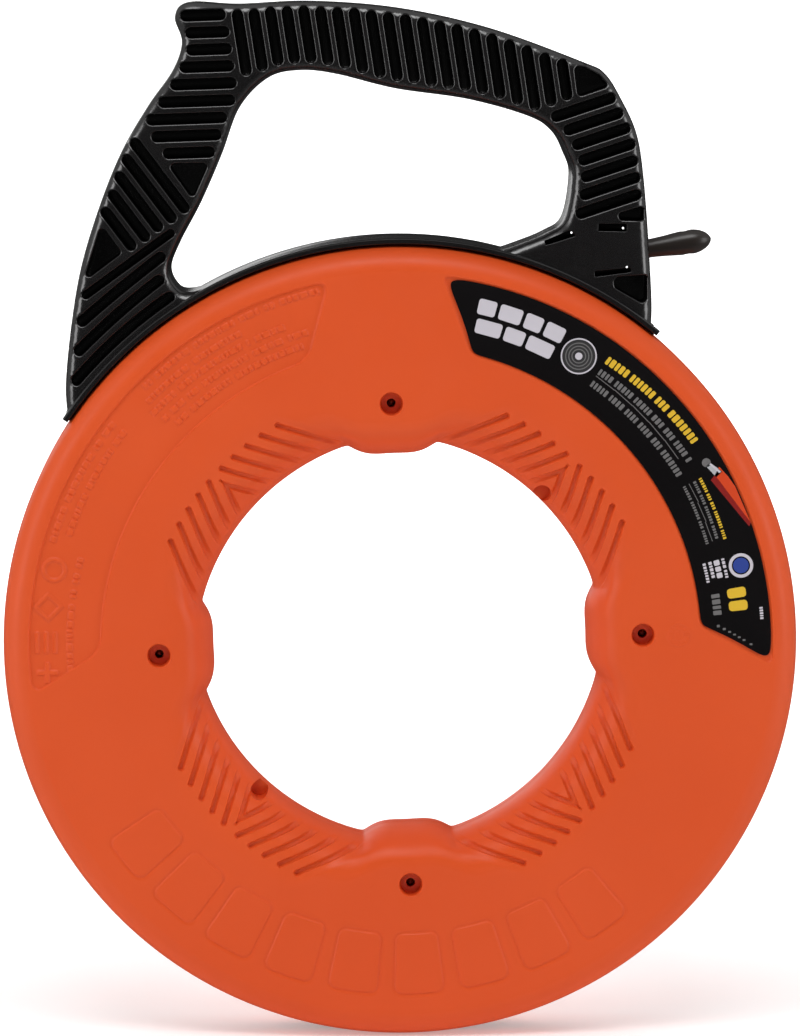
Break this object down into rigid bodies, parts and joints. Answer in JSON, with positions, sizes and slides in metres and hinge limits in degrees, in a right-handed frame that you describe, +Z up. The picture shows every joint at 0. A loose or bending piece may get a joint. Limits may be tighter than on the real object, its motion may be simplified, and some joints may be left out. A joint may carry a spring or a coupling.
{
  "type": "fish tape reel",
  "caption": "Upright fish tape reel: a ring-shaped two-shell winder case that turns inside a ribbed D-grip handle, with a coiled rod tape whose tip leaves the handle's nose.",
  "frame": {"origin": "under the middle of the case's rim, where the upright reel stands", "axes": "+Z up through the case's centre to the grip; +X towards the handle's nose, where the tape leaves; +Y from the labelled front face to the back face, along the case's turning axis"},
  "size_m": [0.305, 0.052, 0.3978],
  "materials": {
    "case_orange": "satin moulded orange plastic",
    "handle_black": "semi-gloss moulded black plastic",
    "tape_fibreglass": "jacketed fibreglass rod, lightly glossy",
    "ferrule_metal": "crimped plated sleeve",
    "tip_nylon": "dark moulded nylon",
    "screw_steel": "dark plated steel",
    "clip_zinc": "zinc-plated",
    "label_film": "printed black film"
  },
  "bodies": {
    "handle": {"handle": "handle_black"},
    "case": {"front_shell": "case_orange", "rear_shell": "case_orange", "tape_coil": "tape_fibreglass", "tape_tail": "tape_fibreglass", "tape_anchor_clip": "clip_zinc", "tape_anchor_screw": "screw_steel", "shell_screw_right": "screw_steel", "shell_screw_top": "screw_steel", "shell_screw_left": "screw_steel", "shell_screw_bottom": "screw_steel", "product_label": "label_film"},
    "fish_tape": {"tape_lead": "tape_fibreglass", "tape_ferrule": "ferrule_metal", "tape_tip": "tip_nylon"}
  },
  "joints": [
    {"name": "case_spin", "type": "hinge", "parent": "handle", "child": "case", "pos_m": [0, 0, 0.1525], "axis": [0, 1, 0], "continuous": true},
    {"name": "tape_pull", "type": "slide", "parent": "handle", "child": "fish_tape", "axis": [0.9877, 0, 0.1564], "range_m": [0, 0.06]}
  ]
}
